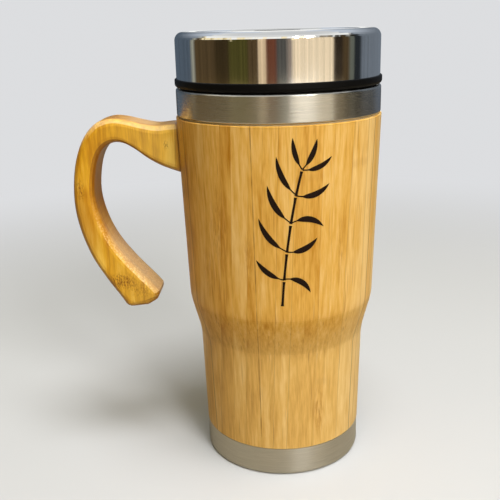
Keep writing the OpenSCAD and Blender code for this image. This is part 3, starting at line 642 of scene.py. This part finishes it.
# Each part of the stem leaves this share bare at its ends, and widens towards them
STEM_STEPS, STEM_BARE, STEM_FLARE, STEM_FLARE_POWER = 10, 0.03, 0.5, 6
TWIG_WIDTH_MM = 0.5
TWIG_SHARE = 0.17
LEAF_STEPS = 24
# A leaf's outline grows from its root and shrinks to its tip by these powers
LEAF_FULLNESS, LEAF_ROOT_POWER, LEAF_TIP_POWER, LEAF_LEAST_MM = 0.87, 0.6, 0.85, 0.03
# Leaves: where each springs from, its tip, how far it bends to its left and its width
LEAVES = [
    ((1.4, 92.4), (-9.5, 100.5), 1.4, 3.4), ((1.5, 92.8), (12.0, 86.5), 2.2, 3.6),
    ((2.7, 104.0), (14.8, 109.0), -1.8, 3.7), ((2.6, 104.2), (-8.2, 117.5), 1.9, 3.5),
    ((4.3, 115.6), (17.4, 113.4), 2.4, 3.7), ((4.2, 115.8), (-4.6, 130.5), 1.8, 3.6),
    ((6.3, 126.4), (19.8, 130.2), -2.0, 3.6), ((6.2, 126.8), (-1.0, 141.5), 1.6, 3.3),
    ((8.7, 136.4), (5.2, 148.4), 0.9, 3.0), ((8.8, 136.4), (14.6, 147.6), -1.0, 3.3),
    ((8.9, 136.2), (20.8, 140.6), -1.6, 3.1)]


def on_sleeve(across, up, lift):
    """A point of the sleeve's front, from its distance in mm across the surface and its height."""
    surface = SHOULDER_R_MM + (up - SHOULDER_MM) * SLEEVE_TAPER
    angle = across / surface
    radius = surface + lift
    return Vector((radius * math.sin(angle), -radius * math.cos(angle), up)) * MM


def left_of(direction):
    return Vector((-direction.y, direction.x)).normalized()


def ribbon(mesh, spine, halves):
    """A closed thin shell along a spine of (across, up) points, with half its width at each point."""
    rows = []
    for i, (point, half) in enumerate(zip(spine, halves)):
        ahead = spine[min(i + 1, len(spine) - 1)] - spine[max(i - 1, 0)]
        ends = [point + left_of(ahead) * offset for offset in (half, -half)]
        rows.append([mesh.verts.new(on_sleeve(end.x, end.y, lift))
                     for lift in (SPRIG_LIFT_MM, -SPRIG_DEPTH_MM) for end in ends])
    for (a, b, c, d), (e, f, g, h) in zip(rows, rows[1:]):
        for face in ((a, b, f, e), (d, c, g, h), (c, a, e, g), (b, d, h, f)):
            mesh.faces.new(face)
    first, last = rows[0], rows[-1]
    mesh.faces.new((first[0], first[2], first[3], first[1]))
    mesh.faces.new((last[1], last[3], last[2], last[0]))


def leaf(mesh, root, tip, bend, width):
    """A slender leaf on a thin twig."""
    root, tip = Vector(root), Vector(tip)
    along = tip - root
    shares = [i / LEAF_STEPS for i in range(LEAF_STEPS + 1)]
    spine = [root + along * t + left_of(along) * bend * 4 * t * (1 - t) for t in shares]
    halves = []
    for t in shares:
        blade = max(t - TWIG_SHARE, 0.0) / (1 - TWIG_SHARE)
        outline = width * LEAF_FULLNESS * blade ** LEAF_ROOT_POWER * (1 - blade) ** LEAF_TIP_POWER
        halves.append(max(outline, TWIG_WIDTH_MM / 2 * (1 - blade), LEAF_LEAST_MM))
    ribbon(mesh, spine, halves)


def stem_part(mesh, low, high):
    """A joint of the stem, waisted, with a bare line before the next joint."""
    low, high = Vector(low), Vector(high)
    shares = [STEM_BARE + (1 - 2 * STEM_BARE) * i / STEM_STEPS for i in range(STEM_STEPS + 1)]
    spine = [low.lerp(high, t) for t in shares]
    halves = [STEM_WIDTH_MM / 2 * (1 + STEM_FLARE * abs(2 * t - 1) ** STEM_FLARE_POWER) for t in shares]
    ribbon(mesh, spine, halves)


def make_sprig(material):
    mesh = bmesh.new()
    for low, high in zip(STEM, STEM[1:]):
        stem_part(mesh, low, high)
    for root, tip, bend, width in LEAVES:
        leaf(mesh, root, tip, bend, width)
    bmesh.ops.recalc_face_normals(mesh, faces=mesh.faces)
    data = bpy.data.meshes.new("engraved_sprig")
    mesh.to_mesh(data)
    mesh.free()
    sprig = bpy.data.objects.new("engraved_sprig", data)
    bpy.context.scene.collection.objects.link(sprig)
    data.materials.append(material)
    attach(sprig, "mug")


make_sprig(burnt("burnt lines"))


# Light from all round: what lights the mug, what its steel sees, and what the camera sees
WORLD_AMBIENT, AMBIENT_TINT = 0.30, (1.0, 0.90, 0.58, 1.0)
WORLD_IN_STEEL, CEILING, ZENITH = 1.15, (0.97, 0.98, 0.97, 1.0), (0.62, 0.64, 0.66, 1.0)
ZENITH_RISE = (0.55, 0.95)
WORLD_SEEN, BACKDROP = 0.80, (0.90, 0.91, 0.93, 1.0)

# The floor as the camera sees it, as steel sees it and as light bounces off it
FLOOR_SIZE = 8.0
FLOOR, FLOOR_FADE_MM = ((0.56, 0.57, 0.59, 1.0), (0.60, 0.61, 0.63, 1.0)), (190.0, 620.0)
TABLE_IN_STEEL, FAR_IN_STEEL = (0.445, 0.395, 0.305, 1.0), (0.27, 0.23, 0.165, 1.0)
STEEL_FADE_MM = (220.0, 460.0)
TABLE = ((0.26, 0.18, 0.10, 1.0), (0.30, 0.21, 0.12, 1.0))


def make_world():
    """A weak warm light, that steel sees as a bright ceiling and the camera as a pale backdrop."""
    world = bpy.data.worlds.new("studio")
    bpy.context.scene.world = world
    world.use_nodes = True
    tree = world.node_tree
    nodes = Nodes(tree)
    up = nodes.split(nodes.coordinates.outputs["Generated"])[2]
    ceiling = nodes.mix(nodes.fade(up, *ZENITH_RISE), CEILING, ZENITH)
    path = tree.nodes.new("ShaderNodeLightPath")
    ambient = tree.nodes["Background"]
    nodes.put_all(ambient, Color=AMBIENT_TINT, Strength=WORLD_AMBIENT)
    shader = ambient.outputs[0]
    for ray, colour, strength in (("Is Glossy Ray", ceiling, WORLD_IN_STEEL),
                                  ("Is Transmission Ray", CEILING, WORLD_SEEN),
                                  ("Is Camera Ray", BACKDROP, WORLD_SEEN)):
        background = tree.nodes.new("ShaderNodeBackground")
        nodes.put_all(background, Color=colour, Strength=strength)
        shader = nodes.either(path.outputs[ray], shader, background.outputs[0])
    nodes.put(tree.nodes["World Output"].inputs["Surface"], shader)


def floor_paint():
    """Pale to the camera, passing into the backdrop far off; steel and bounced light meet a warm table."""
    paint = Paint("floor")
    cloud = paint.noise(paint.place_mm(), scale=0.004)
    paint.finish(Base_Color=paint.mix(cloud, *FLOOR), Roughness=0.6)
    path = paint.tree.nodes.new("ShaderNodeLightPath")
    to_camera, to_steel = path.outputs["Is Camera Ray"], path.outputs["Is Glossy Ray"]
    far = paint.math("MULTIPLY", paint.fade(paint.radius_mm(), *FLOOR_FADE_MM), to_camera)
    pale = paint.either(far, paint.shader.outputs[0], paint.glow(BACKDROP, WORLD_SEEN))
    in_steel = paint.mix(paint.fade(paint.radius_mm(), *STEEL_FADE_MM), TABLE_IN_STEEL, FAR_IN_STEEL)
    table = paint.tree.nodes.new("ShaderNodeBsdfDiffuse")
    paint.put(table.inputs["Color"], paint.mix(to_steel, paint.mix(cloud, *TABLE), in_steel))
    return paint.finish_with(paint.either(to_camera, table.outputs[0], pale))


def make_floor():
    half = FLOOR_SIZE / 2
    corners = [(-half, -half, 0), (half, -half, 0), (half, half, 0), (-half, half, 0)]
    mesh = bpy.data.meshes.new("floor")
    mesh.from_pydata(corners, [], [(0, 1, 2, 3)])
    floor = bpy.data.objects.new("floor", mesh)
    bpy.context.scene.collection.objects.link(floor)
    floor.data.materials.append(floor_paint())


# A wall round the stage that only reflections see: its size, and how high its tones reach
SURROUND_RADIUS, SURROUND_STEPS = 0.9, 96
SURROUND_FOOT, SURROUND_HEIGHT = 0.002, 1.9
SURROUND_STRENGTH = 1.7
SURROUND_TOPS_MM = (480.0, 980.0)
SURROUND_SIDES_MM = 900.0
BACK_EDGE_MM = (150.0, 200.0)
EDGE_BELOW_MM, EDGE_ABOVE_MM = 150.0, 40.0

# Where the wall's sides and its back begin, and where its cream upper edge turns into a dark lintel
SIDE_ANGLES, BACK_ANGLES = (1.6, 2.0), (2.93, 3.02)
LINTEL_ANGLES = (0.62, 0.80)
CREAM, LINTEL = (236, 220, 178), (30, 26, 16)
FRINGE_BELOW_MM, FRINGE_SHARE = 330.0, 0.8
PALE_MM, PALE_WALL = (300.0, 1300.0), (168, 176, 188)

# Fine upright streaks in its tones, and the waves of its upper edge
STREAK_SCALE, STREAK_EDGE, STREAK_SPAN = 34.0, (0.30, 0.70), (0.56, 1.42)
WAVE_SCALE, WAVE_EDGE, WAVE_SEED = 5.0, (0.3, 0.7), 3.0

# The wall's bands, each from one angle to another in degrees, counted from the photographer's side and
# growing to the mug's right, with its tone as it shows in the steel: for the collar below and the cap above.
# The shine is the share of a tone that the steel gives back
SURROUND_SPLIT_MM = (84.0, 98.0)
CAP_SHINE, COLLAR_SHINE = 0.77, 0.43
WALL, FAR_WALL, NOOK = (72, 83, 95), (100, 108, 118), (34, 34, 36)
WOOD, DARK_WOOD, LEAVES_OUTSIDE = (72, 58, 38), (50, 40, 24), (68, 64, 30)
CURTAIN, DOOR, SLATE, ASH = (206, 182, 148), (98, 58, 42), (74, 73, 70), (132, 120, 110)
WINDOW, SHADE, PALE_FRAME, DEEP = (227, 207, 175), (42, 34, 26), (96, 100, 92), (34, 38, 42)
CAP_ROOM = [
    (-180, -109, WALL), (-105, -102, (138, 138, 126)), (-99, -72, WOOD), (-68, -54, DARK_WOOD),
    (-50, -32, LEAVES_OUTSIDE), (-30, -21, WOOD), (-19, -13, CURTAIN), (-11, -2, DOOR), (0, 9, SLATE),
    (11, 14.5, ASH), (16.5, 60, WINDOW), (62, 71, SHADE), (75, 80, WOOD), (84, 88, PALE_FRAME),
    (90, 98, DEEP), (103, 180, FAR_WALL)]
COLLAR_ROOM = [
    (-180, -158, NOOK), (-146, -125, WALL), (-110, -74, (96, 78, 47)), (-68, -56, (104, 86, 50)),
    (-50, -26, (124, 108, 69)), (-20, -13, (134, 122, 98)), (-9, -1, (106, 92, 70)),
    (5, 10, (168, 164, 148)), (14, 40, (268, 263, 250)), (45, 58, (230, 223, 204)),
    (64, 72, (140, 124, 96)), (77, 84, (42, 37, 30)), (88, 122, (17, 17, 18)),
    (136, 150, (66, 72, 82)), (162, 180, NOOK)]


def room(paint, share, bands, shine):
    """The tones of the bands by the share of the turn, made stronger by what the steel swallows of them."""
    stops = []
    for start, end, tone in bands:
        colour = tuple(value / (shine * SURROUND_STRENGTH) for value in srgb(*tone)[:3]) + (1.0,)
        stops += [((start + 180) / 360, colour), ((end + 180) / 360, colour)]
    return paint.ramp(share, stops)


def surround_paint():
    """The glowing bands, with a cream or dark fringe at their upper edge, paler at the sides, clear above."""
    paint = Paint("surround")
    x, y, z = paint.split(paint.place_mm())
    angle = paint.math("ARCTAN2", x, paint.math("MULTIPLY", y, -1.0))
    turned = paint.math("ABSOLUTE", angle)
    side, back = paint.fade(turned, *SIDE_ANGLES), paint.fade(turned, *BACK_ANGLES)

    share = paint.math("MULTIPLY_ADD", angle, 1.0 / math.tau, 0.5)
    colour = paint.mix(paint.fade(z, *SURROUND_SPLIT_MM), room(paint, share, COLLAR_ROOM, COLLAR_SHINE),
                       room(paint, share, CAP_ROOM, CAP_SHINE))
    streaks = paint.noise(paint.join(angle, 0.0), STREAK_SCALE, detail=3.0, roughness=0.65)
    colour = paint.vector("SCALE", colour, scale=paint.fade(streaks, *STREAK_EDGE, *STREAK_SPAN))

    waves = paint.noise(paint.join(angle, WAVE_SEED), WAVE_SCALE, detail=3.0, roughness=0.6)
    tops = paint.fade(waves, *WAVE_EDGE, *SURROUND_TOPS_MM)
    over = paint.math("SUBTRACT", z, paint.math("MULTIPLY_ADD", side, SURROUND_SIDES_MM, tops))
    fringe = paint.math("MULTIPLY", paint.rise(over, -FRINGE_BELOW_MM, -EDGE_BELOW_MM, FRINGE_SHARE),
                        paint.math("SUBTRACT", 1.0, side))
    edge_tone = paint.mix(paint.fade(angle, *LINTEL_ANGLES), srgb(*CREAM), srgb(*LINTEL))
    colour = paint.mix(fringe, colour, edge_tone)
    pale = paint.math("MULTIPLY", paint.fade(z, *PALE_MM), side)
    colour = paint.mix(pale, colour, srgb(*PALE_WALL))

    above = paint.mix(back, paint.fade(over, -EDGE_BELOW_MM, EDGE_ABOVE_MM), paint.fade(z, *BACK_EDGE_MM))
    clear = paint.tree.nodes.new("ShaderNodeBsdfTransparent").outputs[0]
    return paint.finish_with(paint.either(above, paint.glow(colour, SURROUND_STRENGTH), clear))


def make_surround():
    turns = [math.tau * i / SURROUND_STEPS for i in range(SURROUND_STEPS)]
    corners = [(SURROUND_RADIUS * math.sin(turn), -SURROUND_RADIUS * math.cos(turn), z)
               for z in (SURROUND_FOOT, SURROUND_HEIGHT) for turn in turns]
    faces = []
    for i in range(SURROUND_STEPS):
        after = (i + 1) % SURROUND_STEPS
        faces.append((i, after, SURROUND_STEPS + after, SURROUND_STEPS + i))
    mesh = bpy.data.meshes.new("surround")
    mesh.from_pydata(corners, [], faces)
    mesh.materials.append(surround_paint())
    wall = bpy.data.objects.new("surround", mesh)
    bpy.context.scene.collection.objects.link(wall)
    wall.visible_camera = wall.visible_diffuse = wall.visible_shadow = False
    wall.visible_transmission = wall.visible_volume_scatter = False


# Two square lamps, both aimed at the middle of the mug
MUG_MIDDLE = Vector((0.0, 0.0, 0.09))
KEY_PLACE, KEY_SIDE, KEY_POWER, KEY_TINT = (0.60, -1.04, 0.86), 0.40, 12.0, (1.0, 0.98, 0.94)
OVERHEAD_PLACE, OVERHEAD_SIDE, OVERHEAD_POWER = (0.16, -0.25, 1.20), 0.45, 12.5
OVERHEAD_TINT = (1.0, 1.0, 1.0)


def lamp(name, place, side, power, tint):
    """A square lamp that shines at the middle of the mug."""
    light = bpy.data.lights.new(name, "AREA")
    light.shape = "RECTANGLE"
    light.size = light.size_y = side
    light.energy = power
    light.color = tint
    lamp_object = bpy.data.objects.new(name, light)
    lamp_object.location = place
    lamp_object.rotation_mode = "QUATERNION"
    lamp_object.rotation_quaternion = (MUG_MIDDLE - Vector(place)).to_track_quat("-Z", "Y")
    bpy.context.scene.collection.objects.link(lamp_object)
    return lamp_object


def make_camera():
    data = bpy.data.cameras.new("camera")
    data.sensor_width = CAMERA_SENSOR_MM
    data.lens = CAMERA_LENS_MM
    data.clip_start = CAMERA_CLIP
    camera = bpy.data.objects.new("camera", data)
    bpy.context.scene.collection.objects.link(camera)
    turn = Matrix((CAMERA_RIGHT, CAMERA_UP, -CAMERA_AHEAD)).transposed()
    camera.matrix_world = Matrix.Translation(CAMERA_PLACE) @ turn.to_4x4()
    bpy.context.scene.camera = camera


make_world()
make_floor()
make_surround()
make_camera()
lamp("key", KEY_PLACE, KEY_SIDE, KEY_POWER, KEY_TINT)
overhead = lamp("overhead", OVERHEAD_PLACE, OVERHEAD_SIDE, OVERHEAD_POWER, OVERHEAD_TINT)
overhead.visible_glossy = False

bpy.context.scene.view_settings.view_transform = "Standard"
